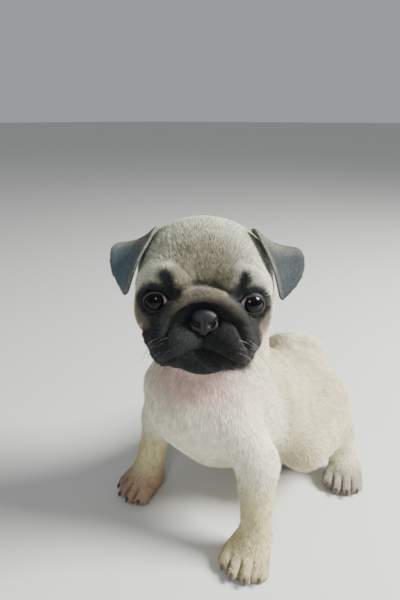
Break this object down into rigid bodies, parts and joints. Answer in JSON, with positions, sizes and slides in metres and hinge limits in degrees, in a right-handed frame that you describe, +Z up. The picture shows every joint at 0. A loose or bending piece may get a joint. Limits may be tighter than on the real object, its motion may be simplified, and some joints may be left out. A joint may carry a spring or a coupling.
{
  "type": "pug puppy figure",
  "caption": "Life-size sitting pug puppy with a round head turned to its left, folded ears, wrinkled black mask, spread forelegs and a tail curled on its rump.",
  "frame": {"origin": "on the floor, under the middle of the whole puppy's bounding box", "axes": "+Z up, +X to the puppy's own left, -Y where its chest faces; the head is turned 40 degrees from -Y towards +X"},
  "size_m": [0.1462, 0.1932, 0.2126],
  "materials": {
    "fawn_coat": "short fawn fur, paler on the chest",
    "mask_coat": "very short black fur",
    "ear_velvet": "blue-black velvet",
    "nose_leather": "moist, finely pebbled black skin",
    "eye_gloss": "wet, clear and glossy",
    "claw_horn": "smooth dark horn"
  },
  "bodies": {
    "root": {"claw_front_left_1": "claw_horn", "claw_front_left_2": "claw_horn", "claw_front_left_3": "claw_horn", "claw_front_left_4": "claw_horn", "claw_front_right_1": "claw_horn", "claw_front_right_2": "claw_horn", "claw_front_right_3": "claw_horn", "claw_front_right_4": "claw_horn", "claw_hind_left_1": "claw_horn", "claw_hind_left_2": "claw_horn", "claw_hind_left_3": "claw_horn", "claw_hind_left_4": "claw_horn", "claw_hind_right_1": "claw_horn", "claw_hind_right_2": "claw_horn", "claw_hind_right_3": "claw_horn", "claw_hind_right_4": "claw_horn", "ear_left": "ear_velvet", "ear_right": "ear_velvet", "eye_left": "eye_gloss", "eye_right": "eye_gloss", "head": "fawn_coat", "leg_front_left": "fawn_coat", "leg_front_right": "fawn_coat", "leg_hind_left": "fawn_coat", "leg_hind_right": "fawn_coat", "muzzle": "mask_coat", "neck": "fawn_coat", "nose": "nose_leather", "paw_front_left": "fawn_coat", "paw_front_right": "fawn_coat", "paw_hind_left": "fawn_coat", "paw_hind_right": "fawn_coat", "tail": "fawn_coat", "torso": "fawn_coat"}
  },
  "joints": []
}
